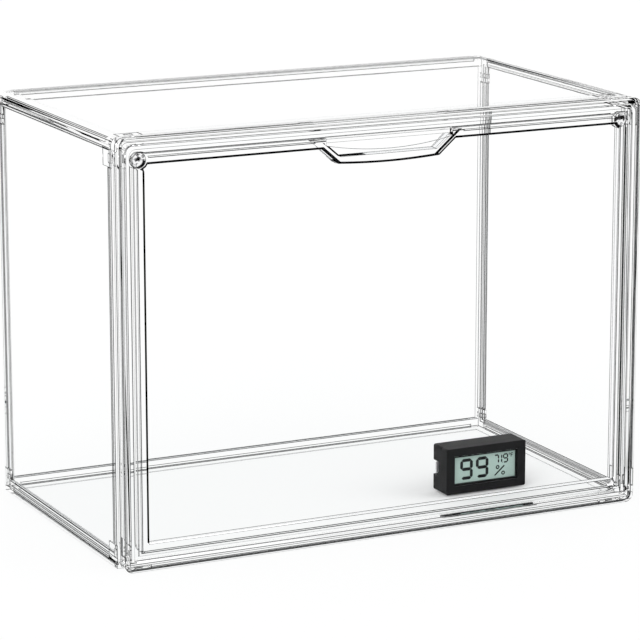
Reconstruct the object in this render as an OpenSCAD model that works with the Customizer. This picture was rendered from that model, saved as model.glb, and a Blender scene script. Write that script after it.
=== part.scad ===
// Mini greenhouse: a clear flat-pack cabinet with a drop-front door and a small thermo-hygrometer.
// The origin is on the table under the middle of the cabinet. +X is right, -Y is the door, +Z is up.

/* [Case] */
// Width of the cabinet
case_w = 300; // [250:1:380]
// Depth of the cabinet with its front frame
case_d = 172; // [140:1:240]
// Height of the cabinet
case_h = 223; // [180:1:300]

/* [Sheets and rims] */
// Thickness of every clear sheet
sheet_t = 1.8; // [1.4:0.1:2.0]
// Thickness of the floor and roof at their edge ring
edge_t = 2.4; // [2.2:0.1:3.2]
// Width of the edge ring of the floor and roof
ring_w = 7.5; // [7.5:0.5:12]
// Width of the rims round the walls
rim_w = 5; // [5:0.5:7]
// Thickness of the rims round the side walls
rim_t = 4.4; // [4.2:0.1:5.4]
// Thickness of the back wall at its edges
back_t = 2.2; // [2.1:0.1:3.0]
// Height of the ribs that run along the rims
bead_h = 0.5; // [0.3:0.1:0.7]
// Width of the outermost rib of a rim
bead_w = 2.2; // [1.6:0.1:2.4]
// Width of the furrow inside the outermost rib
furrow_w = 1.3; // [0.8:0.1:1.6]

/* [Snap joints] */
// Width of the tongue on the floor and roof
tongue_w = 1.6; // [1.2:0.1:1.8]
// Height of the tongue
tongue_h = 1.8; // [1.2:0.1:2.4]
// Distance from a wall's ends to the ends of its tongue
tongue_end = 9; // [7:1:20]
// Thickness of a snap tab
tab_t = 1.0; // [0.8:0.1:1.1]
// Height of the frame's tabs on the side walls
side_tab_w = 9.4; // [7:0.2:12]
// Length of the frame's tabs on the side walls
side_tab_l = 11; // [9:0.5:16]
// Width of the frame's tabs on the floor and roof
edge_tab_w = 12.5; // [9:0.5:16]
// Length of the frame's tabs on the floor and roof
edge_tab_l = 6.8; // [6:0.1:7.2]
// Distance from a corner to the middle of the tabs on the floor and roof
edge_tab_in = 10.75; // [10:0.25:20]
// Distance from the top corner to the middle of a side tab
side_tab_top = 11.1; // [9:0.1:20]
// Distance from the bottom corner to the middle of a side tab
side_tab_low = 7.6; // [7.4:0.1:20]
// Height of the floor's corner legs at the back
floor_leg_h = 13; // [9:1:24]
// Height of the roof's corner legs at the back
roof_leg_h = 17; // [9:1:24]
// Width of the corner legs
leg_w = 8; // [7.5:0.5:12]
// Thickness of the corner legs
leg_t = 1.6; // [1.4:0.1:1.8]

/* [Front frame] */
// Depth of the front frame
frame_d = 10.4; // [10.2:0.1:14]
// Width of the frame that shows round the door
frame_lip = 3.3; // [3.2:0.1:5]
// Width of the frame behind the door
flange_w = 8.6; // [7.5:0.1:9.6]
// Radius of the frame's outer corners and of the cabinet's long edges at the top
frame_r = 4.5; // [3:0.5:5]
// Depth of the line moulded round the outside of the frame
line_d = 0.4; // [0.3:0.1:0.6]

/* [Door] */
// Thickness of the door's rim
door_t = 6.2; // [5:0.1:6.6]
// Gap between the door and the frame at the sides, the top and the back
door_gap = 0.3; // [0.3:0.05:0.5]
// Gap under the door
sill_gap = 0.9; // [0.8:0.1:1.4]
// Width of the door's rim
door_rim_w = 10; // [9.5:0.1:14]
// Radius of the door's top corners
door_r = 3.4; // [2:0.2:6]
// Depth of the furrow moulded in the face of the rim
door_furrow_d = 0.8; // [0.4:0.1:1.2]
// Radius of the pivots moulded on the door's lower corners
pivot_r = 1.6; // [1.3:0.1:1.8]
// Length of a pivot inside its socket
pivot_l = 2.2; // [1.6:0.1:2.4]
// Running clearance round a pivot
pivot_gap = 0.05; // [0.03:0.01:0.1]

/* [Finger pull] */
// Width of the pull where it leaves the rim
pull_top_w = 77; // [60:1:110]
// Width of the pull at its lower corners
pull_low_w = 58; // [40:1:58]
// Height of the pull below the rim
pull_h = 8.2; // [6:0.2:12]
// Sag of the pull's lower edge
pull_sag = 1.1; // [0:0.1:2]
// Depth of the pull's cup from the front of the door
pull_d = 9.6; // [8:0.1:12]
// Thickness of the cup's front and back walls
pull_wall = 1.5; // [1.2:0.1:2]
// Thickness of the cup's lower and side walls
pull_side = 3.5; // [2:0.1:4]
// Height of the open mouth above the cup's floor, at its ends
pull_mouth_end = 6.6; // [5:0.1:8]
// Height of the open mouth above the cup's floor, in the middle
pull_mouth_mid = 2.8; // [2:0.1:5]
// Height of the rim left above the mouth
pull_brow = 3.7; // [2.5:0.1:5]
// Gap between the cup and the frame behind the door
pull_clear = 0.8; // [0.6:0.1:1.5]

/* [Magnets] */
// Radius of the magnets
magnet_r = 3.9; // [3:0.1:4]
// Thickness of the magnets
magnet_t = 2.5; // [1.5:0.1:3]
// Clearance round a magnet in its pocket
magnet_gap = 0.05; // [0.02:0.01:0.1]
// Distance of the magnets from the corner's two sides
magnet_in = 11.5; // [11:0.1:13]
// Wall of the bosses round the magnets
boss_wall = 0.7; // [0.6:0.1:1.2]

/* [Thermo-hygrometer] */
// Width of the thermo-hygrometer
gauge_w = 49.5; // [47:0.5:56]
// Height of the thermo-hygrometer
gauge_h = 26; // [25:0.5:30]
// Depth of the thermo-hygrometer
gauge_d = 15.2; // [15:0.1:18]
// Distance of its middle from the cabinet's right side
gauge_in = 66; // [40:1:90]
// Distance of its front face behind the cabinet's front
gauge_behind = 47; // [30:0.5:90]
// Radius of its corners
gauge_r = 1.2; // [0.8:0.1:1.4]
// Thickness of its shells
gauge_wall = 1.6; // [1.4:0.1:1.8]
// Depth of its front shell
bezel_d = 5.5; // [5.2:0.1:5.9]
// Width of the display that shows
window_w = 38; // [30:0.5:39]
// Height of the display that shows
window_h = 14.8; // [12:0.2:15.2]
// Thickness of the clear window plate
lens_t = 0.9; // [0.7:0.1:1]
// Width of the ledge that the window plate sits on
lens_ledge = 1; // [0.6:0.1:1.2]
// Thickness of the display glass
lcd_t = 2; // [1.6:0.1:2.2]
// Border of the display glass that the shell hides
lcd_border = 1.8; // [1.2:0.1:2]
// Thickness of the circuit board
board_t = 1; // [0.8:0.1:1.2]
// Distance from the front to the circuit board
board_y = 6; // [5.8:0.1:6.2]
// Radius of a button cell
cell_r = 5.8; // [5:0.1:5.9]
// Thickness of a button cell
cell_t = 5.4; // [4.6:0.1:5.4]
// Thickness of the contact strips
contact_t = 0.4; // [0.3:0.05:0.5]
// Clearance round the battery cover and inside the shell joint
gauge_gap = 0.1; // [0.05:0.05:0.15]
// Height of the clip notches in the sides
notch_h = 8; // [6:0.5:9]
// Length of the clip notches
notch_l = 6; // [5:0.5:7]
// Depth of the clip notches
notch_d = 2.5; // [2:0.1:2.6]
// Thickness of the spring clips
clip_t = 0.4; // [0.3:0.1:0.6]

/* [Hidden] */
$fn = 48;
clear_tint = [0.93, 0.95, 0.96, 0.45];
case_black = [0.12, 0.12, 0.13];
cut = 1;
y_front = -case_d / 2;
y_back = case_d / 2;
y_shell = y_front + frame_d;
x_side = case_w / 2;
fit = 0.15;
tongue_gap = 0.1;
side_sheet_in = (rim_t - sheet_t) / 2;
back_sheet_in = back_t - sheet_t;
nub_l = 2;
nub_w = 4;
nub_h = 0.8 * tab_t;
nub_fit = 0.2;
leg_nub_w = 3;
leg_nub_in = 5;
leg_nub_down = 4;
recess_d = door_t + door_gap;
lip_step_w = frame_lip / 2;
lip_step_d = 0.4;
line_w = 0.6;
line_in = 5.2;
cheek_pad = [5, 0.5, 9.5];
cheek_pad_z = 13.6;
door_half = x_side - frame_lip - door_gap;
door_low = frame_lip + sill_gap;
door_top = case_h - frame_lip - door_gap;
pivot_z = door_low + door_t / 2;
pivot_y = y_front + door_t / 2;
pane_in = door_t - sheet_t;
pane_r = 1;
furrow_s = 1.9;
furrow_end_s = 4.2;
fine_line_s = 5.6;
fine_line_w = 0.7;
fine_line_d = 0.4;
magnet_x = x_side - magnet_in;
magnet_z = case_h - magnet_in;
boss_r = magnet_r + magnet_gap + boss_wall;
arc_steps = 6;
pull_steps = 16;
gauge_mid = gauge_h / 2;
lens_seat = lens_t + 0.3;
bezel_front = 2.2;
lcd_y = bezel_front;
spigot_l = 1.2;
spigot_t = 0.8;
cell_y = board_y + board_t + contact_t;
cell_x = cell_r + 0.4;
tray_w = 4 * cell_r + 1.2;
tray_h = 2 * cell_r + 0.6;
tray_t = 1.2;
cover_w = tray_w + 1;
cover_h = tray_h + 1;
back_wall_y = gauge_d - gauge_wall;
sensor_x = -17.5;
sensor_size = [4, 2.2, 4];
vent_size = [4.4, 1.1];

// Points of a rectangle with rounded corners, from (x0, z0) to (x1, z1).
function round_rect(x0, x1, z0, z1, r) = [
    for (corner = [[x1 - r, z1 - r, 0], [x0 + r, z1 - r, 90], [x0 + r, z0 + r, 180], [x1 - r, z0 + r, 270]])
        for (i = [0 : arc_steps])
            let (a = corner[2] + 90 * i / arc_steps)
            [corner[0] + r * cos(a), corner[1] + r * sin(a)]
];

// Points of the door's outline above the pivots, drawn in by s from its edge.
function door_outline(s, r) = concat(
    [
        for (corner = [[door_half - s - r, 0], [-door_half + s + r, 90]])
            for (i = [0 : arc_steps])
                let (a = corner[1] + 90 * i / arc_steps)
                [corner[0] + r * cos(a), door_top - s - r + r * sin(a)]
    ],
    [[-door_half + s, door_low + s], [door_half - s, door_low + s]]
);

// Points of the finger pull: two slanted sides and a lower edge that sags, drawn in by s.
function pull_outline(top_z, top_half, low_z, low_half, sag) = concat(
    [[top_half, top_z]],
    [
        for (i = [0 : pull_steps])
            let (u = 1 - 2 * i / pull_steps)
            [low_half * u, low_z - sag * (1 - u * u)]
    ],
    [[-top_half, top_z]]
);

// A box between two corners.
module block(low, high) {
    translate(low) cube(high - low);
}

// A drawing in the front view, given thickness between two depths.
module slab(y0, y1) {
    translate([0, y1, 0]) rotate([90, 0, 0]) linear_extrude(y1 - y0) children();
}

// The same shape on the left and the right.
module both_sides() {
    children();
    mirror([1, 0, 0]) children();
}

// A snap tab: it runs along +Y from its root, its outer face is at z = 0, and a nub snaps into its window.
module snap_tab(l, w, nub_y) {
    difference() {
        block([-w / 2, -cut, -tab_t], [w / 2, l, 0]);
        translate([0, nub_y, 0])
            block([-nub_w / 2 - nub_fit, -nub_l / 2 - nub_fit, -tab_t - cut],
                  [nub_w / 2 + nub_fit, nub_l / 2 + nub_fit, cut]);
    }
}

// The pocket that a snap tab lies in, with its nub left standing.
module snap_pocket(l, w, nub_y) {
    difference() {
        block([-w / 2 - fit, -cut, -tab_t], [w / 2 + fit, l + fit, cut]);
        translate([0, nub_y, 0])
            block([-nub_w / 2, -nub_l / 2, -tab_t - cut], [nub_w / 2, nub_l / 2, nub_h - tab_t]);
    }
}

// Where the frame's tabs lie on the right-hand wall.
module at_side_tabs() {
    for (z = [side_tab_low, case_h - side_tab_top])
        translate([x_side, y_shell, z]) rotate([0, 90, 0]) children();
}

// Where the frame's tabs lie on the underside of the floor. The roof mirrors them.
module at_edge_tabs() {
    for (x = [edge_tab_in - x_side, x_side - edge_tab_in])
        translate([x, y_shell, 0]) mirror([0, 0, 1]) children();
}

// The nub on a side wall that snaps into a corner leg, or with a gap the leg's window round it.
module leg_nub(h, gap) {
    y = y_back - leg_nub_in;
    z = h - leg_nub_down;
    block([x_side - leg_t - cut, y - leg_nub_w / 2 - gap, z - nub_l / 2 - gap],
          [x_side - leg_t + nub_h + cut * sign(gap), y + leg_nub_w / 2 + gap, z + nub_l / 2 + gap]);
}

// A corner leg with its window.
module corner_leg(h) {
    difference() {
        block([x_side - leg_t, y_back - leg_w, 0], [x_side, y_back, h]);
        leg_nub(h, nub_fit);
    }
}

// The pocket that a corner leg lies in, with its nub left standing.
module leg_pocket(h) {
    difference() {
        block([x_side - leg_t, y_back - leg_w - fit, 0], [x_side + cut, y_back + fit, h + fit]);
        leg_nub(h, 0);
    }
}

// The outline that the four walls, the floor and the roof keep inside: its long top edges are round.
module case_outline() {
    slab(y_shell, y_back) polygon(round_rect(-x_side, x_side, -case_h, case_h, frame_r));
}

// The floor: a sheet with a thicker edge ring below, tongues on top and corner legs at the back.
module edge_panel(leg_h) {
    difference() {
        block([-x_side, y_shell, 0], [x_side, y_back, edge_t]);
        block([-x_side + ring_w, y_shell + ring_w, -cut], [x_side - ring_w, y_back - ring_w, edge_t - sheet_t]);
        at_edge_tabs() snap_pocket(edge_tab_l, edge_tab_w, edge_tab_l / 2);
    }
    both_sides() {
        tongue_x = x_side - rim_t / 2;
        block([tongue_x - tongue_w / 2, y_shell + tongue_end, edge_t / 2],
              [tongue_x + tongue_w / 2, y_back - back_t - tongue_end, edge_t + tongue_h]);
        corner_leg(leg_h);
    }
    block([tongue_end - x_side, y_back - rim_t / 2 - tongue_w / 2, edge_t / 2],
          [x_side - tongue_end, y_back - rim_t / 2 + tongue_w / 2, edge_t + tongue_h]);
}

module base_panel() {
    color(clear_tint) edge_panel(floor_leg_h);
}

module top_panel() {
    color(clear_tint) intersection() {
        translate([0, 0, case_h]) mirror([0, 0, 1]) edge_panel(roof_leg_h);
        case_outline();
    }
}

// The right-hand wall: a sheet in a ribbed rim, grooved below and above for the tongues.
module side_wall() {
    y0 = y_shell;
    y1 = y_back - back_t;
    z0 = edge_t;
    z1 = case_h - edge_t;
    x0 = x_side - rim_t;
    difference() {
        block([x0, y0, z0], [x_side, y1, z1]);
        block([x_side - side_sheet_in, y0 + rim_w, z0 + rim_w], [x_side + cut, y1 - rim_w, z1 - rim_w]);
        block([x0 - cut, y0 + rim_w, z0 + rim_w], [x0 + side_sheet_in, y1 - rim_w, z1 - rim_w]);
        difference() {
            block([x_side - bead_h, y0 + bead_w, z0 + bead_w], [x_side + cut, y1 - bead_w, z1 - bead_w]);
            s = bead_w + furrow_w;
            block([x_side - 2 * bead_h, y0 + s, z0 + s], [x_side + 2 * cut, y1 - s, z1 - s]);
        }
        s_in = rim_w - furrow_w;
        block([x0 - cut, y0 + s_in, z0 + s_in], [x0 + bead_h, y1 - s_in, z1 - s_in]);
        for (z = [z0, z1])
            block([x_side - rim_t / 2 - tongue_w / 2 - tongue_gap, y0 + tongue_end - tongue_gap,
                   z - tongue_h - tongue_gap],
                  [x_side - rim_t / 2 + tongue_w / 2 + tongue_gap, y1 - tongue_end + tongue_gap,
                   z + tongue_h + tongue_gap]);
        at_side_tabs() snap_pocket(side_tab_l, side_tab_w, rim_w / 2);
        leg_pocket(floor_leg_h);
        translate([0, 0, case_h]) mirror([0, 0, 1]) leg_pocket(roof_leg_h);
    }
}

module right_panel() {
    color(clear_tint) intersection() {
        side_wall();
        case_outline();
    }
}

module left_panel() {
    mirror([1, 0, 0]) right_panel();
}

// The back wall: a sheet whose edge lies behind the side walls, with a thick rim below and above.
module back_panel() {
    z0 = edge_t;
    z1 = case_h - edge_t;
    rim_half = x_side - rim_t - fit;
    color(clear_tint) difference() {
        intersection() {
            union() {
                block([-x_side, y_back - back_t, z0], [x_side, y_back, z1]);
                for (z = [z0, z1 - rim_w])
                    block([-rim_half, y_back - rim_t, z], [rim_half, y_back - back_t / 2, z + rim_w]);
            }
            case_outline();
        }
        block([-x_side + rim_w, y_back - back_sheet_in, z0 + rim_w],
              [x_side - rim_w, y_back + cut, z1 - rim_w]);
        for (z = [z0, z1])
            block([tongue_end - x_side - tongue_gap, y_back - rim_t / 2 - tongue_w / 2 - tongue_gap,
                   z - tongue_h - tongue_gap],
                  [x_side - tongue_end + tongue_gap, y_back - rim_t / 2 + tongue_w / 2 + tongue_gap,
                   z + tongue_h + tongue_gap]);
        both_sides() {
            leg_pocket(floor_leg_h);
            translate([0, 0, case_h]) mirror([0, 0, 1]) leg_pocket(roof_leg_h);
        }
    }
}

// The front frame: it holds the door, its magnets and its pivots, and snaps onto the four walls.
module front_frame() {
    y_flange = y_front + recess_d;
    color(clear_tint) {
        difference() {
            slab(y_front, y_shell) polygon(round_rect(-x_side, x_side, 0, case_h, frame_r));
            slab(y_front - cut, y_front + lip_step_d)
                polygon(round_rect(-x_side + lip_step_w, x_side - lip_step_w,
                                   lip_step_w, case_h - lip_step_w, frame_r - lip_step_w));
            slab(y_front - cut, y_flange)
                polygon(round_rect(-x_side + frame_lip, x_side - frame_lip,
                                   frame_lip, case_h - frame_lip, door_r + door_gap));
            block([-x_side + frame_lip, y_front - cut, frame_lip], [x_side - frame_lip, y_flange, case_h / 2]);
            difference() {
                slab(y_flange - cut, y_shell + cut)
                    polygon(round_rect(-x_side + flange_w, x_side - flange_w,
                                       flange_w, case_h - flange_w, frame_r));
                both_sides() magnet_column(boss_r, y_flange - 2 * cut, y_shell + 2 * cut);
            }
            both_sides() magnet_column(magnet_r + magnet_gap, y_flange - cut, y_flange + magnet_t);
            difference() {
                block([-x_side - cut, y_front + line_in, -cut],
                      [x_side + cut, y_front + line_in + line_w, case_h + cut]);
                slab(y_front - cut, y_shell + cut)
                    polygon(round_rect(-x_side + line_d, x_side - line_d, line_d, case_h - line_d,
                                       frame_r - line_d));
            }
            both_sides() {
                translate([door_half, pivot_y, pivot_z]) rotate([0, 90, 0])
                    cylinder(r = pivot_r + pivot_gap, h = door_gap + pivot_l + fit);
                block([x_side - cheek_pad[1], y_front + lip_step_d, cheek_pad_z - cheek_pad[2] / 2],
                      [x_side + cut, y_front + cheek_pad[0] - lip_step_d, cheek_pad_z + cheek_pad[2] / 2]);
            }
        }
        both_sides() at_side_tabs() snap_tab(side_tab_l, side_tab_w, rim_w / 2);
        for (turn = [0, 1])
            translate([0, 0, turn * case_h]) mirror([0, 0, turn])
                at_edge_tabs() snap_tab(edge_tab_l, edge_tab_w, edge_tab_l / 2);
    }
}

// A cylinder along Y at the top right-hand magnet.
module magnet_column(r, y0, y1) {
    translate([magnet_x, y1, magnet_z]) rotate([90, 0, 0]) cylinder(r = r, h = y1 - y0);
}

module frame_magnets() {
    y0 = y_front + recess_d;
    color("silver") both_sides() magnet_column(magnet_r, y0, y0 + magnet_t);
}

module door_magnets() {
    y1 = y_front + door_t;
    color("silver") both_sides() magnet_column(magnet_r, y1 - magnet_t, y1);
}

// The cross-section of the door's lower rail below its pivots: half round about their axis.
module door_heel() {
    points = [
        for (i = [0 : 2 * arc_steps])
            let (a = 180 + 180 * i / (2 * arc_steps))
            [pivot_y + door_t / 2 * cos(a), pivot_z + door_t / 2 * sin(a)]
    ];
    rotate([90, 0, 90]) translate([0, 0, -door_half]) linear_extrude(2 * door_half)
        polygon(concat(points, [[y_front + door_t, pivot_z + door_t], [y_front, pivot_z + door_t]]));
}

// The door: a sheet set back in a stepped rim, with a cup pull, magnet bosses and pivots.
module door_panel() {
    low_half = pull_low_w / 2;
    low_z = door_top - door_rim_w - pull_h;
    slope = (pull_top_w - pull_low_w) / 2 / pull_h;
    pull_top_z = case_h - flange_w - pull_clear;
    cup_low_z = low_z + pull_side;
    cup_low_half = low_half - pull_side * tan(atan(1 / slope) / 2);
    cup_top_z = pull_top_z - pull_wall;
    mouth_half = cup_low_half + slope * (cup_top_z - cup_low_z);
    color(clear_tint) {
        difference() {
            union() {
                difference() {
                    union() {
                        slab(y_front, y_front + door_t)
                            intersection() {
                                polygon(door_outline(0, door_r));
                                translate([-case_w, pivot_z]) square([2 * case_w, case_h]);
                            }
                        door_heel();
                        both_sides() translate([door_half - cut, pivot_y, pivot_z]) rotate([0, 90, 0])
                            cylinder(r = pivot_r, h = cut + door_gap + pivot_l);
                    }
                    slab(y_front - cut, y_front + pane_in) polygon(door_outline(door_rim_w, pane_r));
                    slab(y_front - cut, y_front + door_furrow_d) difference() {
                        polygon(door_outline(furrow_s, door_r));
                        polygon(door_outline(furrow_end_s, door_r));
                    }
                    slab(y_front - cut, y_front + fine_line_d) difference() {
                        polygon(door_outline(fine_line_s, door_r));
                        polygon(door_outline(fine_line_s + fine_line_w, door_r));
                    }
                }
                both_sides() magnet_column(boss_r, y_front, y_front + door_t);
                slab(y_front, y_front + pull_d)
                    polygon(pull_outline(pull_top_z, low_half + slope * (pull_top_z - low_z),
                                         low_z, low_half, pull_sag));
            }
            both_sides()
                magnet_column(magnet_r + magnet_gap, y_front + door_t - magnet_t, y_front + door_t + cut);
            slab(y_front + pull_wall, y_front + pull_d - pull_wall)
                polygon(pull_outline(cup_top_z, mouth_half, cup_low_z, cup_low_half, 0));
            slab(y_front - cut, y_front + 2 * pull_wall)
                polygon(pull_outline(door_top - pull_brow, mouth_half, cup_low_z + pull_mouth_end, mouth_half,
                                     pull_mouth_end - pull_mouth_mid));
        }
    }
}

// The thermo-hygrometer stands on the floor sheet. Its own origin is under the middle of its front face.
module at_gauge() {
    translate([x_side - gauge_in, y_front + gauge_behind, edge_t]) children();
}

// A box in the thermo-hygrometer, centred from side to side and about a height.
module gauge_block(w, y0, y1, h, z = gauge_mid, x = 0) {
    block([x - w / 2, y0, z - h / 2], [x + w / 2, y1, z + h / 2]);
}

// A slice of its outer shape between two depths.
module gauge_slice(y0, y1) {
    slab(y0, y1) polygon(round_rect(-gauge_w / 2, gauge_w / 2, 0, gauge_h, gauge_r));
}

module gauge_bezel() {
    color(case_black) at_gauge() difference() {
        gauge_slice(0, bezel_d);
        gauge_block(gauge_w - 2 * gauge_wall, bezel_front, bezel_d + cut, gauge_h - 2 * gauge_wall);
        gauge_block(window_w + 2 * lens_ledge, -cut, lens_seat, window_h + 2 * lens_ledge);
        gauge_block(window_w, -cut, bezel_front + cut, window_h);
    }
}

module gauge_lens() {
    lens_fit = 2 * gauge_gap;
    color([0.6, 0.7, 0.65, 0.5]) at_gauge()
        gauge_block(window_w + 2 * lens_ledge - lens_fit, lens_seat - lens_t, lens_seat,
                    window_h + 2 * lens_ledge - lens_fit);
}

module gauge_lcd() {
    color([0.62, 0.71, 0.67]) at_gauge()
        gauge_block(window_w + 2 * lcd_border, lcd_y, lcd_y + lcd_t, window_h + 2 * lcd_border);
}

module gauge_lcd_connector() {
    strip_h = 1.6;
    strip_z = gauge_mid - window_h / 2 - lcd_border + strip_h;
    color("dimgray") at_gauge() gauge_block(window_w, lcd_y + lcd_t, board_y, strip_h, strip_z);
}

module gauge_circuit_board() {
    chip_r = 2.3;
    chip_x = 16.4;
    board_w = gauge_w - 2 * gauge_wall - 2 * spigot_t - 0.8;
    board_h = gauge_h - 2 * gauge_wall - 2 * spigot_t - 0.8;
    at_gauge() {
        color("darkgreen") gauge_block(board_w, board_y, board_y + board_t, board_h);
        color("black") translate([chip_x, board_y + board_t / 2, gauge_mid]) rotate([-90, 0, 0])
            cylinder(r = chip_r, h = board_t / 2 + 0.8);
    }
}

module gauge_sensor() {
    y0 = board_y + board_t;
    color("white") at_gauge()
        gauge_block(sensor_size[0], y0, y0 + sensor_size[1], sensor_size[2], gauge_mid, sensor_x);
}

// Two button cells side by side, each with its smaller negative cap towards the board.
module gauge_cells() {
    cap_t = 0.7;
    cap_r = cell_r - 0.6;
    color("silver") at_gauge() for (x = [-cell_x, cell_x])
        translate([x, cell_y, gauge_mid]) rotate([-90, 0, 0]) {
            cylinder(r = cap_r, h = cell_t / 2);
            translate([0, 0, cap_t]) cylinder(r = cell_r, h = cell_t - cap_t);
        }
}

// A strip on the board under each cell, and one behind that joins the two.
module gauge_contacts() {
    strip_h = 4;
    strip_w = 8;
    color("gainsboro") at_gauge() {
        for (x = [-cell_x, cell_x])
            gauge_block(strip_w, cell_y - contact_t, cell_y, strip_h, gauge_mid, x);
        gauge_block(2 * cell_x + strip_w / 2, cell_y + cell_t, cell_y + cell_t + contact_t, strip_h);
    }
}

// The rear shell: a spigot that enters the front shell, a tray for the cells, clip notches and vents.
module gauge_housing() {
    inner_w = gauge_w - 2 * gauge_wall;
    inner_h = gauge_h - 2 * gauge_wall;
    spigot_w = inner_w - 2 * gauge_gap;
    spigot_h = inner_h - 2 * gauge_gap;
    tray_y = board_y + board_t + 0.6;
    notch_x = gauge_w / 2 - notch_d;
    color(case_black) at_gauge() difference() {
        union() {
            difference() {
                union() {
                    gauge_slice(bezel_d, gauge_d);
                    gauge_block(spigot_w, bezel_d - spigot_l, gauge_d - gauge_wall, spigot_h);
                }
                gauge_block(inner_w, bezel_d + gauge_wall, back_wall_y, inner_h);
                gauge_block(spigot_w - 2 * spigot_t, bezel_d - spigot_l - cut, back_wall_y,
                            spigot_h - 2 * spigot_t);
            }
            gauge_block(tray_w + 2 * tray_t, tray_y, gauge_d - gauge_wall / 2, tray_h + 2 * tray_t);
            both_sides()
                block([notch_x - gauge_wall, tray_y, gauge_mid - notch_h / 2 - gauge_wall],
                      [gauge_w / 2 - gauge_wall / 2, gauge_d - gauge_wall / 2,
                       gauge_mid + notch_h / 2 + gauge_wall]);
        }
        gauge_block(tray_w, tray_y - cut, gauge_d + cut, tray_h);
        gauge_block(cover_w, back_wall_y, gauge_d + cut, cover_h);
        both_sides()
            block([notch_x, gauge_d - notch_l, gauge_mid - notch_h / 2],
                  [gauge_w / 2 + cut, gauge_d + cut, gauge_mid + notch_h / 2]);
        for (i = [-1, 0, 1])
            gauge_block(vent_size[0], back_wall_y - cut, gauge_d + cut, vent_size[1],
                        gauge_mid + 2 * i * vent_size[1], sensor_x);
    }
}

// Two spring strips, bent so that they press on the sides of a panel cut-out.
module gauge_side_clips() {
    clip_w = notch_h - 2;
    x0 = gauge_w / 2 - notch_d;
    y0 = gauge_d - notch_l;
    color("silver") at_gauge() both_sides()
        translate([0, 0, gauge_mid - clip_w / 2]) linear_extrude(clip_w) polygon([
            [x0, y0], [x0 + notch_d - clip_t, y0], [x0 + notch_d - clip_t, y0 + clip_t],
            [x0 + clip_t, y0 + clip_t], [x0 + clip_t, y0 + notch_l - 2],
            [x0 + notch_d - clip_t, y0 + notch_l / 2], [x0 + notch_d, y0 + notch_l / 2 + clip_t],
            [x0 + clip_t, y0 + notch_l - clip_t], [x0, y0 + notch_l - clip_t]
        ]);
}

// The cover over the cells. It lies flush in the back and presses the rear contact on the cells.
module gauge_battery_cover() {
    pad_w = 16;
    pad_h = 6;
    color(case_black) at_gauge() {
        gauge_block(cover_w - 2 * gauge_gap, back_wall_y, gauge_d, cover_h - 2 * gauge_gap);
        gauge_block(pad_w, cell_y + cell_t + contact_t, back_wall_y + gauge_wall / 2, pad_h);
    }
}

base_panel();
top_panel();
back_panel();
left_panel();
right_panel();
front_frame();
frame_magnets();
door_panel();
door_magnets();
gauge_bezel();
gauge_lens();
gauge_lcd();
gauge_lcd_connector();
gauge_circuit_board();
gauge_sensor();
gauge_cells();
gauge_contacts();
gauge_housing();
gauge_side_clips();
gauge_battery_cover();
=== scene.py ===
import math
import bmesh
import bpy
import numpy as np
from mathutils import Matrix, Vector


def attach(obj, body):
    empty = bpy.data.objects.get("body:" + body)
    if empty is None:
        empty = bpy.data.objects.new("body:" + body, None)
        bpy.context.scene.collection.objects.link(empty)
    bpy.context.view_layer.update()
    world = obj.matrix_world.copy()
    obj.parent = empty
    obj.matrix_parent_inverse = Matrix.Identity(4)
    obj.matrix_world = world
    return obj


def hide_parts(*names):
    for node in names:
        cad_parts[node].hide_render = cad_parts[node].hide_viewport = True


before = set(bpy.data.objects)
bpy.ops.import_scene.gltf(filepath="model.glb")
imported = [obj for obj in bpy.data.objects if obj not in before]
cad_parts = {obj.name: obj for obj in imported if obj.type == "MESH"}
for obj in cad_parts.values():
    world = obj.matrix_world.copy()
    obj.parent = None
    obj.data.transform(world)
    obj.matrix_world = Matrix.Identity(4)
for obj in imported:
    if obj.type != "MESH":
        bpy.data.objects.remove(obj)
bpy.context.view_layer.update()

# The studio: a white floor that runs out of view, a white room round it, and two large soft lamps.
# The camera stands in front of the cabinet's left corner, a little above its roof. What the camera
# sees of floor and room, also through the plastic, is whiter than the light they throw.

CAMERA_PLACE = (-0.7380, -1.5167, 0.4920)
CAMERA_TURN = (76.884, 0.046, -26.013)
CAMERA_LENS = 179.36
CLEAR_BOUNCES = 40
GLOSS_BOUNCES = 24
FLOOR_HALF = 6.0
FLOOR_LIT, FLOOR_SEEN = 0.80, 1.04
ROOM_LIT, ROOM_SEEN = 0.72, 1.0
LAMP_WIDTH = 0.7

scene = bpy.context.scene
scene.view_settings.view_transform = "Standard"
scene.cycles.max_bounces = CLEAR_BOUNCES
scene.cycles.transmission_bounces = CLEAR_BOUNCES
scene.cycles.glossy_bounces = GLOSS_BOUNCES
scene.cycles.transparent_max_bounces = GLOSS_BOUNCES

camera_data = bpy.data.cameras.new("camera")
camera_data.lens = CAMERA_LENS
camera_data.sensor_width = 36
camera_data.clip_start = 0.1
camera_data.clip_end = 30
camera = bpy.data.objects.new("camera", camera_data)
camera.location = CAMERA_PLACE
camera.rotation_euler = [math.radians(turn) for turn in CAMERA_TURN]
scene.collection.objects.link(camera)
scene.camera = camera


def seen_white(nodes, links):
    """1 for a ray from the camera, or one that gloss or clear plastic has passed on, else 0."""
    path = nodes.new("ShaderNodeLightPath")
    either = nodes.new("ShaderNodeMath")
    either.operation = "MAXIMUM"
    links.new(path.outputs["Is Camera Ray"], either.inputs[0])
    links.new(path.outputs["Is Glossy Ray"], either.inputs[1])
    any_of = nodes.new("ShaderNodeMath")
    any_of.operation = "MAXIMUM"
    links.new(either.outputs[0], any_of.inputs[0])
    links.new(path.outputs["Is Transmission Ray"], any_of.inputs[1])
    return any_of.outputs[0]


floor_mesh = bpy.data.meshes.new("floor")
grid = bmesh.new()
bmesh.ops.create_grid(grid, x_segments=1, y_segments=1, size=FLOOR_HALF)
grid.to_mesh(floor_mesh)
grid.free()
floor = bpy.data.objects.new("floor", floor_mesh)
scene.collection.objects.link(floor)

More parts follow.
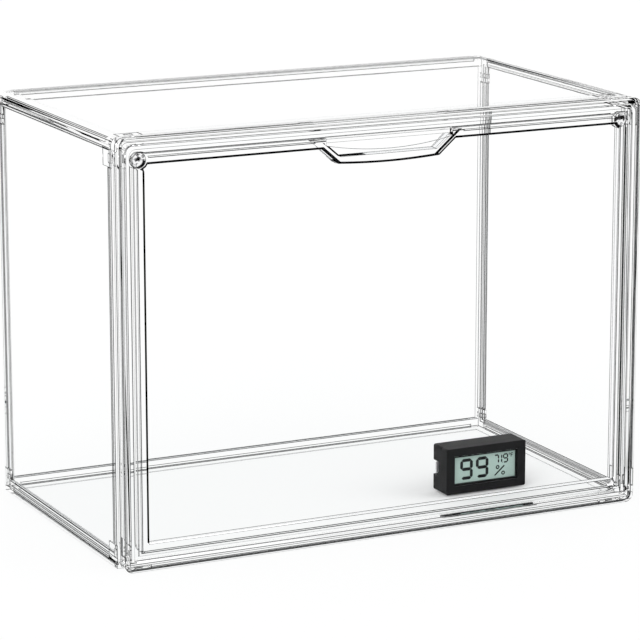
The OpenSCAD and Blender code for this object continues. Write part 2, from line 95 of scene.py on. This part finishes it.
paper = bpy.data.materials.new("white_paper")
paper.use_nodes = True
nodes, links = paper.node_tree.nodes, paper.node_tree.links
tone = nodes.new("ShaderNodeMix")
tone.data_type = "RGBA"
tone.inputs["A"].default_value = (FLOOR_LIT, FLOOR_LIT, FLOOR_LIT, 1)
tone.inputs["B"].default_value = (FLOOR_SEEN, FLOOR_SEEN, FLOOR_SEEN, 1)
links.new(seen_white(nodes, links), tone.inputs["Factor"])
links.new(tone.outputs["Result"], nodes["Principled BSDF"].inputs["Base Color"])
nodes["Principled BSDF"].inputs["Roughness"].default_value = 0.9
nodes["Principled BSDF"].inputs["Specular IOR Level"].default_value = 0.0
floor_mesh.materials.append(paper)

world = bpy.data.worlds.new("studio")
scene.world = world
world.use_nodes = True
nodes, links = world.node_tree.nodes, world.node_tree.links
strength = nodes.new("ShaderNodeMapRange")
strength.inputs["To Min"].default_value = ROOM_LIT
strength.inputs["To Max"].default_value = ROOM_SEEN
links.new(seen_white(nodes, links), strength.inputs["Value"])
links.new(strength.outputs["Result"], nodes["Background"].inputs["Strength"])
nodes["Background"].inputs["Color"].default_value = (1, 1, 1, 1)

for name, place, power in (
    ("key_lamp", (-1.2, -1.3, 1.7), 0.8),
    ("fill_lamp", (1.5, -0.9, 1.3), 0.4),
):
    lamp_data = bpy.data.lights.new(name, "SUN")
    lamp_data.angle = LAMP_WIDTH
    lamp_data.energy = power
    lamp = bpy.data.objects.new(name, lamp_data)
    lamp.location = place
    lamp.rotation_euler = Vector(place).to_track_quat("Z", "Y").to_euler()
    scene.collection.objects.link(lamp)

# The clear mouldings: floor, roof, back, two side walls, front frame and drop-front door.
# Each is one injection moulding in clear polystyrene, polished in the tool, with its edges eased,
# and they snap together with a hair of air between them.

EDGE_EASE = 0.00018
EASE_SEGMENTS = 3
AIR = 0.00002
WELD = 1e-6
FLAT_WITHIN = math.radians(0.5)
ROUND_FROM = math.radians(1)
SHARP_FROM = math.radians(32)
FACET_WIDTH = 0.0025
LIP_STEP = 0.0035
LOOKS_DOWN = -0.3
STANDS_ACROSS = 0.1
PLASTIC_IOR = 1.49
FLOW_SCALE = 45
FLOW_STRENGTH = 0.15
FLOW_DEPTH = 0.0001
GLOSS_FROM, GLOSS_FULL = 0.35, 0.9
TURNS_BACK = 2
VEIL = (0.985, 0.987, 0.987, 1)
SKIN, EDGE, STEP, LIP = 0, 1, 2, 3
# Each one's body, the axis across its sheet, the width of its rim, and the round of the rim's lip.
# The frame has no sheet inside its rim, so no wall of it counts as a step.
CLEAR_PIECES = {
    "base_panel": ("case", 2, 0.0072, 0),
    "top_panel": ("case", 2, 0.0072, 0),
    "back_panel": ("case", 1, 0.0048, 0),
    "left_panel": ("case", 0, 0.0048, 0),
    "right_panel": ("case", 0, 0.0048, 0),
    "front_frame": ("case", 1, None, 0),
    "door_panel": ("door", 1, 0.0095, 0.0014),
}


def clear_plastic(name, tint, veil, mirror):
    """Clear plastic with faint flow waves.

    Without the mirror, light that can't get out is lost and the place looks black. With it, light
    is thrown back, and after a few turns it is let out. The veil is what its shadow lets through.
    """
    material = bpy.data.materials.new(name)
    material.use_nodes = True
    nodes, links = material.node_tree.nodes, material.node_tree.links
    nodes.remove(nodes["Principled BSDF"])
    place = nodes.new("ShaderNodeTexCoord")
    flow = nodes.new("ShaderNodeTexNoise")
    flow.inputs["Scale"].default_value = FLOW_SCALE
    flow.inputs["Detail"].default_value = 1.0
    links.new(place.outputs["Object"], flow.inputs["Vector"])
    waves = nodes.new("ShaderNodeBump")
    waves.inputs["Strength"].default_value = FLOW_STRENGTH
    waves.inputs["Distance"].default_value = FLOW_DEPTH
    links.new(flow.outputs["Fac"], waves.inputs["Height"])
    bend = nodes.new("ShaderNodeBsdfRefraction")
    bend.inputs["Color"].default_value = tint
    bend.inputs["IOR"].default_value = PLASTIC_IOR
    bend.inputs["Roughness"].default_value = 0.0
    links.new(waves.outputs["Normal"], bend.inputs["Normal"])
    surface = bend
    if mirror:
        gloss = nodes.new("ShaderNodeBsdfGlossy")
        gloss.inputs["Color"].default_value = (1, 1, 1, 1)
        gloss.inputs["Roughness"].default_value = 0.0
        links.new(waves.outputs["Normal"], gloss.inputs["Normal"])
        fresnel = nodes.new("ShaderNodeFresnel")
        fresnel.inputs["IOR"].default_value = PLASTIC_IOR
        sheen = nodes.new("ShaderNodeMapRange")
        sheen.inputs["From Min"].default_value = GLOSS_FROM
        sheen.inputs["From Max"].default_value = GLOSS_FULL
        links.new(fresnel.outputs[0], sheen.inputs["Value"])
        surface = nodes.new("ShaderNodeMixShader")
        links.new(sheen.outputs[0], surface.inputs[0])
        links.new(bend.outputs[0], surface.inputs[1])
        links.new(gloss.outputs[0], surface.inputs[2])
    path = nodes.new("ShaderNodeLightPath")
    soft = nodes.new("ShaderNodeMath")
    soft.operation = "MAXIMUM"
    links.new(path.outputs["Is Shadow Ray"], soft.inputs[0])
    links.new(path.outputs["Is Diffuse Ray"], soft.inputs[1])
    tired = nodes.new("ShaderNodeMath")
    tired.operation = "GREATER_THAN"
    tired.inputs[1].default_value = TURNS_BACK - 0.5
    links.new(path.outputs["Glossy Depth"], tired.inputs[0])
    let_out = nodes.new("ShaderNodeBsdfTransparent")
    let_out.inputs["Color"].default_value = (1, 1, 1, 1)
    bounced = nodes.new("ShaderNodeMixShader")
    links.new(tired.outputs[0], bounced.inputs[0])
    links.new(surface.outputs[0], bounced.inputs[1])
    links.new(let_out.outputs[0], bounced.inputs[2])
    pass_on = nodes.new("ShaderNodeBsdfTransparent")
    pass_on.inputs["Color"].default_value = veil
    both = nodes.new("ShaderNodeMixShader")
    links.new(soft.outputs[0], both.inputs[0])
    links.new(bounced.outputs[0], both.inputs[1])
    links.new(pass_on.outputs[0], both.inputs[2])
    links.new(both.outputs[0], nodes["Material Output"].inputs["Surface"])
    return material


def is_facet(face, turns):
    """True for a narrow strip of a round stretch, which is shaded smooth."""
    bends = [edge for edge in face.edges if ROUND_FROM < turns[edge] < SHARP_FROM]
    return bool(bends) and face.calc_area() < FACET_WIDTH * max(edge.calc_length() for edge in bends)


def ease_edges(shape, edges, width, index):
    """Rounds the edges, and gives the round faces the material of that index."""
    made = bmesh.ops.bevel(shape, geom=edges, offset=width, offset_type="OFFSET", segments=EASE_SEGMENTS,
                           profile=0.5, affect="EDGES", clamp_overlap=False, material=-1)
    for face in made["faces"]:
        face.smooth = True
        face.material_index = index


def is_lip(edge, front):
    """True where the front face of the door turns into a deep step's wall that looks down."""
    return (all(vert.co.y < front + 2 * AIR for vert in edge.verts)
            and any(face.material_index == STEP and face.normal.z < LOOKS_DOWN
                    and max(vert.co.y for vert in face.verts) > front + LIP_STEP
                    for face in edge.link_faces))


def moulding(node, ease, sheet_axis=0, rim=None, lip=0):
    """A merged copy of a node's solid, a hair smaller all round, with eased edges.

    The eased edges take the second material. The walls of the steps that lie further in than the
    rim take the third. The upper lip of the door's rim is rounded as wide as given, and takes the
    fourth.
    """
    shape = bmesh.new()
    shape.from_mesh(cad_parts[node].data)
    bmesh.ops.remove_doubles(shape, verts=shape.verts, dist=WELD)
    bmesh.ops.dissolve_limit(shape, angle_limit=FLAT_WITHIN, verts=shape.verts, edges=shape.edges)
    shape.normal_update()
    places = np.array([vert.co for vert in shape.verts])
    low, high = places.min(axis=0), places.max(axis=0)
    inward = []
    for vert in shape.verts:
        planes = np.array([face.normal for face in vert.link_faces])
        inward.append(np.linalg.lstsq(planes, np.full(len(planes), -AIR), rcond=1e-3)[0])
    for vert, way in zip(shape.verts, inward):
        vert.co += Vector(way)
    turns = {edge: edge.calc_face_angle(0) for edge in shape.edges}
    across = [axis for axis in range(3) if axis != sheet_axis]
    for face in shape.faces:
        face.smooth = is_facet(face, turns)
        middle = face.calc_center_median()
        inner = rim is not None and all(low[axis] + rim < middle[axis] < high[axis] - rim for axis in across)
        face.material_index = STEP if inner and abs(face.normal[sheet_axis]) < STANDS_ACROSS else SKIN
    if lip:
        lips = [edge for edge in shape.edges if turns[edge] >= SHARP_FROM and is_lip(edge, low[1])]
        ease_edges(shape, lips, lip, LIP)
        shape.normal_update()
    sharp = [edge for edge in shape.edges if edge.calc_face_angle(0) >= SHARP_FROM]
    ease_edges(shape, sharp, ease, EDGE)
    mesh = bpy.data.meshes.new(node + "_eased")
    shape.to_mesh(mesh)
    shape.free()
    piece = bpy.data.objects.new(node + "_eased", mesh)
    scene.collection.objects.link(piece)
    return piece


# Painted shade: the second and fourth materials are tinted near black and the third a little grey. This makes
# the eased edges, the door's lip and the step walls draw the dark lines that bent light makes in clear
# plastic.
polystyrene = [
    clear_plastic("clear_polystyrene", (0.999, 1.0, 1.0, 1), VEIL, mirror=True),
    clear_plastic("polystyrene_edge_painted_shade", (0.05, 0.052, 0.055, 1), VEIL, mirror=False),
    clear_plastic("polystyrene_step_painted_shade", (0.97, 0.975, 0.98, 1), VEIL, mirror=False),
    clear_plastic("polystyrene_lip_painted_shade", (0.008, 0.008, 0.009, 1), VEIL, mirror=False),
]
for node, (body, sheet_axis, rim, lip) in CLEAR_PIECES.items():
    piece = moulding(node, EDGE_EASE, sheet_axis, rim, lip)
    for material in polystyrene:
        piece.data.materials.append(material)
    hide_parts(node)
    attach(piece, body)

# The magnets: four ground discs plated with nickel, two pressed into the door's bosses from behind
# and two into the frame behind them.
# The plating is bright and a little wavy. The room is all white, so the dark and bright patches that it would
# mirror elsewhere are painted into its colour as painted reflection.

MAGNET_EASE = 0.0002


def fresh_material(name):
    """A new material, with its nodes and its links."""
    material = bpy.data.materials.new(name)
    material.use_nodes = True
    return material, material.node_tree.nodes, material.node_tree.links


def grain(nodes, links, size, detail=2.0):
    """Noise whose patches are as wide as the size, in metres."""
    place = nodes.new("ShaderNodeTexCoord")
    noise = nodes.new("ShaderNodeTexNoise")
    noise.inputs["Scale"].default_value = 1 / size
    noise.inputs["Detail"].default_value = detail
    links.new(place.outputs["Object"], noise.inputs["Vector"])
    return noise.outputs["Fac"]


def shade(nodes, links, fac, stops):
    """A colour ramp over the stops, each a place and a colour."""
    ramp = nodes.new("ShaderNodeValToRGB")
    elements = ramp.color_ramp.elements
    for index, (place, colour) in enumerate(stops):
        element = elements[index] if index < 2 else elements.new(place)
        element.position = place
        element.color = (*colour, 1)
    links.new(fac, ramp.inputs["Fac"])
    links.new(ramp.outputs["Color"], nodes["Principled BSDF"].inputs["Base Color"])


def roughen(nodes, links, fac, depth):
    """Bumps that follow the pattern, as deep as given, in metres."""
    bump = nodes.new("ShaderNodeBump")
    bump.inputs["Distance"].default_value = depth
    links.new(fac, bump.inputs["Height"])
    links.new(bump.outputs["Normal"], nodes["Principled BSDF"].inputs["Normal"])


def finish(nodes, roughness, metal=0.0, gloss=0.5):
    """How dull, how metallic and how glossy the surface is all over."""
    surface = nodes["Principled BSDF"].inputs
    surface["Roughness"].default_value = roughness
    surface["Metallic"].default_value = metal
    surface["Specular IOR Level"].default_value = gloss


nickel, nodes, links = fresh_material("nickel_plate")
patches = grain(nodes, links, size=0.0034, detail=1.5)
# Painted reflection: the patches swing the plating's colour between dark and bright, and the same noise also
# gives the waves.
shade(nodes, links, patches, [
    (0.385, (0.02, 0.02, 0.02)), (0.43, (0.35, 0.35, 0.36)), (0.48, (0.95, 0.95, 0.95)),
    (0.56, (0.90, 0.90, 0.91)), (0.60, (0.10, 0.10, 0.10)), (0.65, (0.78, 0.78, 0.79)),
])
roughen(nodes, links, patches, depth=0.00008)
finish(nodes, roughness=0.12, metal=1.0)

for node, body in (("frame_magnets", "case"), ("door_magnets", "door")):
    discs = moulding(node, MAGNET_EASE)
    discs.data.materials.append(nickel)
    discs.data.materials.append(nickel)
    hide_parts(node)
    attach(discs, body)

# The thermo-hygrometer's shells: the front shell, the rear shell and the battery cover.
# Each is moulded in black ABS with a fine satin grain, and its outer edges are a little rounded.

SHELL_EASE = 0.00013

shell, nodes, links = fresh_material("black_shell")
sand = grain(nodes, links, size=0.0004)
shade(nodes, links, sand, [(0.3, (0.006, 0.006, 0.0065)), (0.7, (0.012, 0.012, 0.013))])
roughen(nodes, links, sand, depth=0.00002)
finish(nodes, roughness=0.5, gloss=0.14)

# The rounded outer edges take a slightly lighter and glossier black than the faces.
lighter_shell_edge, nodes, links = fresh_material("black_shell_edge")
sand = grain(nodes, links, size=0.0006)
shade(nodes, links, sand, [(0.3, (0.010, 0.010, 0.011)), (0.7, (0.018, 0.018, 0.019))])
finish(nodes, roughness=0.4, gloss=0.25)

for node, body in (
    ("gauge_bezel", "gauge"),
    ("gauge_housing", "gauge"),
    ("gauge_battery_cover", "gauge_cover"),
):
    part = moulding(node, SHELL_EASE)
    part.data.materials.append(shell)
    part.data.materials.append(lighter_shell_edge)
    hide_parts(node)
    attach(part, body)

# Its works: the button cells, their spring contacts, the clips in the sides, the green circuit
# board with its blob chip, the white humidity sensor and the striped rubber strip under the display.
# They keep the CAD's shapes and get their own materials.


def dress(node, material):
    """Gives a CAD piece its material."""
    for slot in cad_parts[node].material_slots:
        slot.material = material


def stripes(nodes, links, pitch, axis="X"):
    """Even bands along one axis, each as wide as the pitch, in metres."""
    place = nodes.new("ShaderNodeTexCoord")
    wave = nodes.new("ShaderNodeTexWave")
    wave.bands_direction = axis
    wave.inputs["Scale"].default_value = math.pi / 10 / pitch
    wave.inputs["Distortion"].default_value = 0.6
    links.new(place.outputs["Object"], wave.inputs["Vector"])
    return wave.outputs["Fac"]


cell_steel, nodes, links = fresh_material("cell_steel")
brushed = stripes(nodes, links, pitch=0.0004, axis="Z")
shade(nodes, links, brushed, [(0.2, (0.50, 0.50, 0.50)), (0.8, (0.66, 0.66, 0.65))])
roughen(nodes, links, brushed, depth=0.000004)
finish(nodes, roughness=0.28, metal=1.0)
dress("gauge_cells", cell_steel)

spring, nodes, links = fresh_material("spring_steel")
rolled = stripes(nodes, links, pitch=0.0007, axis="Z")
shade(nodes, links, rolled, [(0.2, (0.42, 0.42, 0.43)), (0.8, (0.62, 0.62, 0.63))])
roughen(nodes, links, rolled, depth=0.000006)
finish(nodes, roughness=0.32, metal=1.0)
dress("gauge_contacts", spring)
dress("gauge_side_clips", spring)

board, nodes, links = fresh_material("solder_mask")
place = nodes.new("ShaderNodeTexCoord")
tracks = nodes.new("ShaderNodeTexBrick")
tracks.inputs["Color1"].default_value = (0.015, 0.13, 0.05, 1)
tracks.inputs["Color2"].default_value = (0.02, 0.16, 0.06, 1)
tracks.inputs["Mortar"].default_value = (0.05, 0.30, 0.12, 1)
tracks.inputs["Scale"].default_value = 220
tracks.inputs["Mortar Size"].default_value = 0.03
lie_flat = nodes.new("ShaderNodeMapping")
lie_flat.inputs["Rotation"].default_value = (math.pi / 2, 0, 0)
links.new(place.outputs["Object"], lie_flat.inputs["Vector"])
links.new(lie_flat.outputs["Vector"], tracks.inputs["Vector"])
links.new(tracks.outputs["Color"], nodes["Principled BSDF"].inputs["Base Color"])
roughen(nodes, links, tracks.outputs["Fac"], depth=0.00003)
finish(nodes, roughness=0.35)
dress("gauge_circuit_board", board)

sensor, nodes, links = fresh_material("sensor_plastic")
pores = grain(nodes, links, size=0.0005, detail=1.0)
shade(nodes, links, pores, [(0.35, (0.45, 0.45, 0.43)), (0.5, (0.80, 0.80, 0.78))])
roughen(nodes, links, pores, depth=0.00003)
finish(nodes, roughness=0.7)
dress("gauge_sensor", sensor)

zebra, nodes, links = fresh_material("striped_rubber")
layers = stripes(nodes, links, pitch=0.0005)
shade(nodes, links, layers, [(0.45, (0.012, 0.012, 0.012)), (0.55, (0.30, 0.30, 0.31))])
finish(nodes, roughness=0.8)
dress("gauge_lcd_connector", zebra)

# Its display: a grey-green liquid crystal glass behind a clear window plate that lies in the shell.
# The dark figures stand on the glass: two large ones for the humidity, and three small ones with a
# dot for the temperature, each with its sign.

DISPLAY_BORDER = 0.0018
FIGURE_DEPTH = 0.00004
LENS_EASE = 0.0001
WINDOW_VEIL = (0.985, 0.99, 0.987, 1)
# The figures' sizes and places are in millimetres.
SEGMENT_GAP = 0.06
SEGMENTS = {"1": "bc", "7": "abc", "9": "abcdfg"}
LARGE = {"low": 1.5, "width": 7.9, "height": 11.9, "thick": 1.8}
SMALL = {"low": 8.2, "width": 3.3, "height": 5.3, "thick": 0.82}
PERCENT_RING = {"radius": 0.85, "thick": 0.65}
DEGREE_RING = {"radius": 0.4, "thick": 0.32}
RING_SIDES = 16

glass, nodes, links = fresh_material("display_glass")
cloud = grain(nodes, links, size=0.012, detail=3.0)
shade(nodes, links, cloud, [(0.3, (0.45, 0.575, 0.535)), (0.7, (0.505, 0.635, 0.595))])
finish(nodes, roughness=0.4, gloss=0.3)
dress("gauge_lcd", glass)

ink, nodes, links = fresh_material("display_figures")
speck = grain(nodes, links, size=0.0003)
shade(nodes, links, speck, [(0.3, (0.008, 0.009, 0.010)), (0.7, (0.016, 0.018, 0.018))])
finish(nodes, roughness=0.5, gloss=0.2)

lcd_low = np.array([vert.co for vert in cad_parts["gauge_lcd"].data.vertices]).min(axis=0)


def on_glass(place):
    """The point that lies so many millimetres right of and above the display's lower left corner."""
    x, z = place
    return lcd_low[0] + DISPLAY_BORDER + x / 1000, 0, lcd_low[2] + DISPLAY_BORDER + z / 1000


def bar(shape, start, end, thick):
    """A flat six-sided bar with pointed ends."""
    start, end = Vector(start), Vector(end)
    along = (end - start).normalized()
    across = Vector((-along.y, along.x)) * thick / 2
    start, end = start + along * SEGMENT_GAP, end - along * SEGMENT_GAP
    bevel = along * thick / 2
    around = [start, start + bevel - across, end - bevel - across,
              end, end - bevel + across, start + bevel + across]
    shape.faces.new([shape.verts.new(on_glass(place)) for place in around])


def figure(shape, sign, left, low, width, height, thick):
    """A figure made of those of the seven segments that its sign lights."""
    x0, x1 = left + thick / 2, left + width - thick / 2
    z0, z1 = low + thick / 2, low + height - thick / 2
    middle = (z0 + z1) / 2
    ends = {"a": ((x0, z1), (x1, z1)), "b": ((x1, z1), (x1, middle)), "c": ((x1, middle), (x1, z0)),
            "d": ((x0, z0), (x1, z0)), "f": ((x0, z1), (x0, middle)), "g": ((x0, middle), (x1, middle))}
    for letter in SEGMENTS[sign]:
        bar(shape, *ends[letter], thick)


def ring(shape, middle, radius, thick):
    """A flat ring round the middle, bridged between two circles."""
    upright = Matrix.Translation(on_glass(middle)) @ Matrix.Rotation(math.pi / 2, 4, "X")
    rims = []
    for reach in (radius + thick / 2, radius - thick / 2):
        circle = bmesh.ops.create_circle(shape, segments=RING_SIDES, radius=reach / 1000, matrix=upright)
        rims += [edge for edge in shape.edges if all(vert in circle["verts"] for vert in edge.verts)]
    bmesh.ops.bridge_loops(shape, edges=rims)


shape = bmesh.new()
for left in (3.7, 13.5):
    figure(shape, "9", left, **LARGE)
for sign, left in (("7", 24.8), ("1", 26.8), ("9", 30.5)):
    figure(shape, sign, left, **SMALL)
bar(shape, (30.3, 8.1), (30.3, 8.7), thick=0.35)
ring(shape, (34.65, 13.0), **DEGREE_RING)
for start, end in (((35.6, 11.0), (35.6, 13.5)), ((35.5, 13.3), (36.9, 13.3)), ((35.6, 12.3), (36.7, 12.3))):
    bar(shape, start, end, thick=0.5)
ring(shape, (27.2, 6.2), **PERCENT_RING)
ring(shape, (30.7, 2.6), **PERCENT_RING)
bar(shape, (25.2, 1.5), (31.6, 6.9), thick=0.85)
made = bmesh.ops.extrude_face_region(shape, geom=shape.faces[:])
raised = [part for part in made["geom"] if isinstance(part, bmesh.types.BMVert)]
bmesh.ops.translate(shape, verts=raised, vec=(0, -FIGURE_DEPTH, 0))
bmesh.ops.translate(shape, verts=shape.verts, vec=(0, lcd_low[1] + FIGURE_DEPTH / 4, 0))
bmesh.ops.recalc_face_normals(shape, faces=shape.faces)
mesh = bpy.data.meshes.new("display_figures")
shape.to_mesh(mesh)
shape.free()
figures = bpy.data.objects.new("display_figures", mesh)
scene.collection.objects.link(figures)
mesh.materials.append(ink)
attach(figures, "gauge")

lens = moulding("gauge_lens", LENS_EASE)
lens.data.materials.append(clear_plastic("window_plastic", (0.98, 0.995, 0.988, 1), WINDOW_VEIL, mirror=True))
# Painted shade: the window's eased edges are tinted near black, to draw a dark line round the window.
lens.data.materials.append(clear_plastic("window_edge_painted_shade", (0.03, 0.036, 0.033, 1), WINDOW_VEIL, mirror=False))
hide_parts("gauge_lens")
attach(lens, "gauge")
